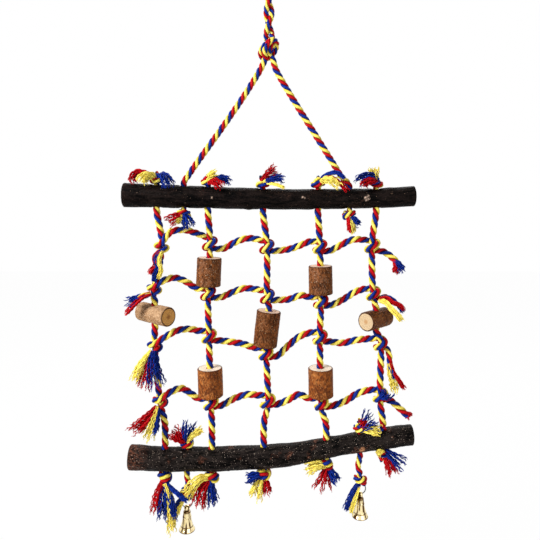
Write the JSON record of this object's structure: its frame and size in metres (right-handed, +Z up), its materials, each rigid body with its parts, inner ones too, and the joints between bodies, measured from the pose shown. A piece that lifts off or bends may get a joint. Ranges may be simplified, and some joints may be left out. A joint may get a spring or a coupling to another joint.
{
  "type": "bird swing",
  "caption": "Hanging climbing swing for cage birds: two natural wood perches joined by a knotted rope net with threaded bark blocks and small bells.",
  "frame": {"origin": "middle of the hook space, in the upper bow of the steel link that the swing hangs from", "axes": "+X to the right along the perches as seen from the front, +Y away from the viewer, +Z up"},
  "size_m": [0.2921, 0.041, 0.6074],
  "materials": {
    "link_steel": "zinc plated, satin",
    "ring_steel": "bright wire",
    "bell_brass": "polished",
    "rope_red": "satin twisted fibre",
    "rope_blue": "satin twisted fibre",
    "rope_yellow": "satin twisted fibre",
    "perch_bark": "natural bark",
    "block_bark": "natural bark with sawn ends"
  },
  "bodies": {
    "hanging_link": {"quick_link": "link_steel", "link_sleeve_nut": "link_steel"},
    "hanger": {"hanger_rope": "rope_blue", "hanger_knot": "rope_red"},
    "upper_perch": {"upper_perch": "perch_bark", "hanger_leg_left": "rope_blue", "hanger_leg_right": "rope_blue", "upright_top_knots": "rope_yellow"},
    "net_row_1": {"upright_1_row_1": "rope_blue", "upright_2_row_1": "rope_red", "upright_3_row_1": "rope_blue", "upright_4_row_1": "rope_red", "upright_5_row_1": "rope_blue", "rung_1": "rope_yellow"},
    "net_row_2": {"upright_1_row_2": "rope_red", "upright_2_row_2": "rope_blue", "upright_3_row_2": "rope_red", "upright_4_row_2": "rope_blue", "upright_5_row_2": "rope_red", "rung_2": "rope_yellow", "rung_1_tail": "rope_red"},
    "net_row_3": {"upright_1_row_3": "rope_blue", "upright_2_row_3": "rope_red", "upright_3_row_3": "rope_blue", "upright_4_row_3": "rope_red", "upright_5_row_3": "rope_blue", "rung_3": "rope_yellow"},
    "net_row_4": {"upright_1_row_4": "rope_red", "upright_2_row_4": "rope_blue", "upright_3_row_4": "rope_red", "upright_4_row_4": "rope_blue", "upright_5_row_4": "rope_red", "rung_4": "rope_yellow", "rung_3_tails": "rope_red"},
    "net_row_5": {"upright_1_row_5": "rope_blue", "upright_2_row_5": "rope_red", "upright_3_row_5": "rope_blue", "upright_4_row_5": "rope_red", "upright_5_row_5": "rope_blue", "rung_4_tail": "rope_red"},
    "lower_perch": {"lower_perch": "perch_bark", "upright_bottom_knots": "rope_yellow", "bell_cord_top_knots": "rope_yellow"},
    "bell_cord_left": {"bell_cord_left": "rope_blue", "jump_ring_left": "ring_steel"},
    "bell_left": {"bell_left": "bell_brass"},
    "clapper_left": {"clapper_left": "ring_steel"},
    "bell_cord_right": {"bell_cord_right": "rope_blue", "jump_ring_right": "ring_steel"},
    "bell_right": {"bell_right": "bell_brass"},
    "clapper_right": {"clapper_right": "ring_steel"},
    "block_upper_left": {"block_upper_left": "block_bark"},
    "block_upper_right": {"block_upper_right": "block_bark"},
    "block_centre": {"block_centre": "block_bark"},
    "block_lower_left": {"block_lower_left": "block_bark"},
    "block_lower_right": {"block_lower_right": "block_bark"},
    "block_side_left": {"block_side_left": "block_bark"},
    "block_side_right": {"block_side_right": "block_bark"}
  },
  "joints": [
    {"name": "hanger_swing", "type": "hinge", "parent": "hanging_link", "child": "hanger", "pos_m": [0, 0, -0.03], "axis": [1, 0, 0], "range_deg": [-40, 40]},
    {"name": "hanger_sway", "type": "hinge", "parent": "hanger", "child": "upper_perch", "pos_m": [0, 0, -0.116], "axis": [0, 1, 0], "range_deg": [-20, 20]},
    {"name": "net_fold_top", "type": "hinge", "parent": "upper_perch", "child": "net_row_1", "pos_m": [0, 0, -0.28127], "axis": [1, 0, 0], "range_deg": [-35, 35]},
    {"name": "net_fold_rung_1", "type": "hinge", "parent": "net_row_1", "child": "net_row_2", "pos_m": [0, 0, -0.314], "axis": [1, 0, 0], "range_deg": [-35, 35]},
    {"name": "net_fold_rung_2", "type": "hinge", "parent": "net_row_2", "child": "net_row_3", "pos_m": [0, 0, -0.363], "axis": [1, 0, 0], "range_deg": [-35, 35]},
    {"name": "net_fold_rung_3", "type": "hinge", "parent": "net_row_3", "child": "net_row_4", "pos_m": [0, 0, -0.411], "axis": [1, 0, 0], "range_deg": [-35, 35]},
    {"name": "net_fold_rung_4", "type": "hinge", "parent": "net_row_4", "child": "net_row_5", "pos_m": [0, 0, -0.47], "axis": [1, 0, 0], "range_deg": [-35, 35]},
    {"name": "net_fold_bottom", "type": "hinge", "parent": "net_row_5", "child": "lower_perch", "pos_m": [0, 0, -0.49214], "axis": [1, 0, 0], "range_deg": [-35, 35]},
    {"name": "bell_cord_left_swing", "type": "hinge", "parent": "lower_perch", "child": "bell_cord_left", "pos_m": [-0.082, 0, -0.54233], "axis": [1, 0, 0], "range_deg": [-10, 40]},
    {"name": "bell_left_swing", "type": "hinge", "parent": "bell_cord_left", "child": "bell_left", "pos_m": [-0.082, 0, -0.57519], "axis": [1, 0, 0], "range_deg": [-35, 35]},
    {"name": "clapper_left_swing", "type": "hinge", "parent": "bell_left", "child": "clapper_left", "pos_m": [-0.082, 0, -0.58139], "axis": [1, 0, 0], "range_deg": [-16, 16]},
    {"name": "bell_cord_right_swing", "type": "hinge", "parent": "lower_perch", "child": "bell_cord_right", "pos_m": [0.091, 0, -0.52347], "axis": [1, 0, 0], "range_deg": [-40, 40]},
    {"name": "bell_right_swing", "type": "hinge", "parent": "bell_cord_right", "child": "bell_right", "pos_m": [0.091, 0, -0.56183], "axis": [1, 0, 0], "range_deg": [-35, 35]},
    {"name": "clapper_right_swing", "type": "hinge", "parent": "bell_right", "child": "clapper_right", "pos_m": [0.091, 0, -0.56803], "axis": [1, 0, 0], "range_deg": [-16, 16]},
    {"name": "block_upper_left_spin", "type": "hinge", "parent": "net_row_2", "child": "block_upper_left", "pos_m": [-0.06011, 0, -0.3398], "axis": [0.04, 0, 0.9992], "continuous": true},
    {"name": "block_upper_right_spin", "type": "hinge", "parent": "net_row_2", "child": "block_upper_right", "pos_m": [0.0516, 0, -0.3478], "axis": [-0.0182, 0, 0.9998], "continuous": true},
    {"name": "block_centre_spin", "type": "hinge", "parent": "net_row_3", "child": "block_centre", "pos_m": [-0.00203, 0, -0.3963], "axis": [0.1104, 0, 0.9939], "continuous": true},
    {"name": "block_lower_left_spin", "type": "hinge", "parent": "net_row_4", "child": "block_lower_left", "pos_m": [-0.05866, 0, -0.4498], "axis": [-0.0298, 0, 0.9996], "continuous": true},
    {"name": "block_lower_right_spin", "type": "hinge", "parent": "net_row_4", "child": "block_lower_right", "pos_m": [0.05166, 0, -0.4498], "axis": [-0.0152, 0, 0.9999], "continuous": true},
    {"name": "block_side_left_spin", "type": "hinge", "parent": "net_row_3", "child": "block_side_left", "pos_m": [-0.114, 0, -0.382], "axis": [0, 0, 1], "continuous": true},
    {"name": "block_side_right_spin", "type": "hinge", "parent": "net_row_3", "child": "block_side_right", "pos_m": [0.107, 0, -0.387], "axis": [0, 0, 1], "continuous": true}
  ]
}
